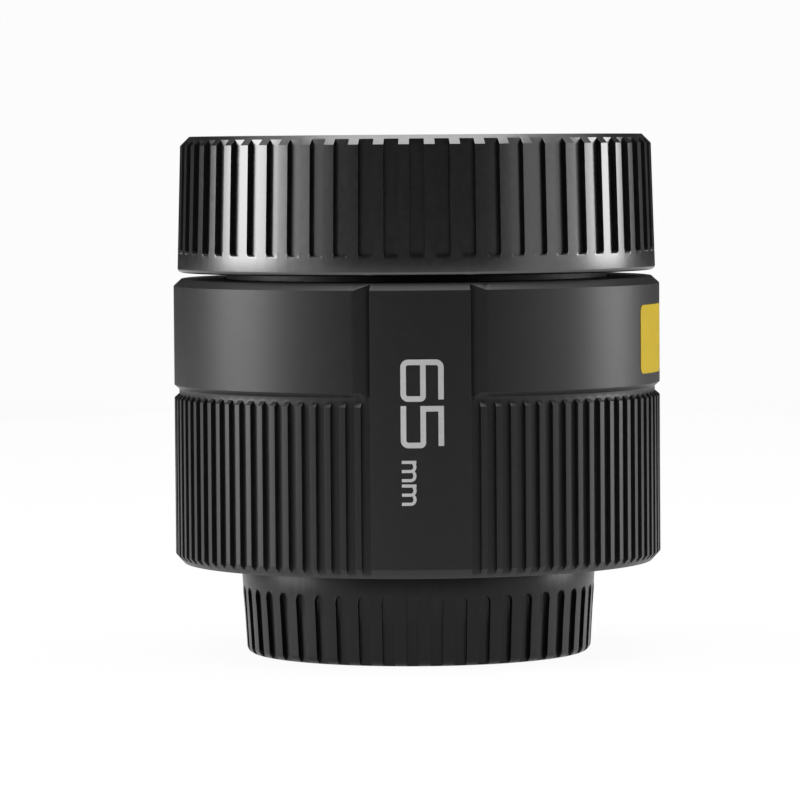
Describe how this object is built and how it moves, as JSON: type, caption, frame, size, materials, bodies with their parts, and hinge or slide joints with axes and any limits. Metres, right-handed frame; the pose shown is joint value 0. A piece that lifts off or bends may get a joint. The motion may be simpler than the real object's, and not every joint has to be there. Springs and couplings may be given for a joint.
{
  "type": "projection lens",
  "caption": "Short black projection lens with a slotted focus ring, a ribbed barrel with a flat pad, glass elements inside and a push-on rear cap that it stands on.",
  "frame": {"origin": "centre of the flat face of the rear cap that the lens stands on", "axes": "+Z along the optical axis, from the rear cap to the front glass; -Y faces the flat pad on the barrel"},
  "size_m": [0.072, 0.072, 0.0764],
  "materials": {
    "black_anodised_aluminium": "satin",
    "black_ring_aluminium": "semi-gloss",
    "black_cap_plastic": "satin",
    "black_turned_aluminium": "matt",
    "brass": "turned",
    "steel": "turned",
    "felt": "matt",
    "coated_glass": "polished"
  },
  "bodies": {
    "housing": {"barrel": "black_anodised_aluminium", "mount_ring": "steel", "mount_screws": "steel", "guide_key_1": "brass", "guide_key_2": "brass", "guide_key_3": "brass", "stop_key": "brass", "helicoid_sleeve": "brass", "felt_seal": "felt", "end_ring": "black_turned_aluminium"},
    "lens_cell": {"lens_tube": "black_turned_aluminium", "thrust_ring": "brass", "front_retaining_ring": "black_turned_aluminium", "third_retaining_ring": "black_turned_aluminium", "rear_retaining_ring": "black_turned_aluminium", "front_spacer": "black_turned_aluminium", "aperture_stop": "black_turned_aluminium", "rear_spacer": "black_turned_aluminium", "front_element": "coated_glass", "second_element": "coated_glass", "third_element": "coated_glass", "fourth_element": "coated_glass", "fifth_element": "coated_glass", "rear_element": "coated_glass"},
    "focus_ring": {"focus_ring": "black_ring_aluminium", "focus_neck": "black_turned_aluminium", "ring_screws": "steel"},
    "rear_cap": {"rear_cap": "black_cap_plastic"}
  },
  "joints": [
    {"name": "focus_travel", "type": "slide", "parent": "housing", "child": "lens_cell", "axis": [0, 0, 1], "range_m": [0, 0.006]},
    {"name": "focus_turn", "type": "hinge", "parent": "lens_cell", "child": "focus_ring", "pos_m": [0, 0, 0.06], "axis": [0, 0, 1], "range_deg": [0, 300]},
    {"name": "rear_cap_pull", "type": "slide", "parent": "housing", "child": "rear_cap", "axis": [0, 0, -1], "range_m": [0, 0.02]}
  ],
  "couplings": [
    {"joint": "focus_travel", "follows": "focus_turn", "m_per_rad": 0.001145}
  ]
}
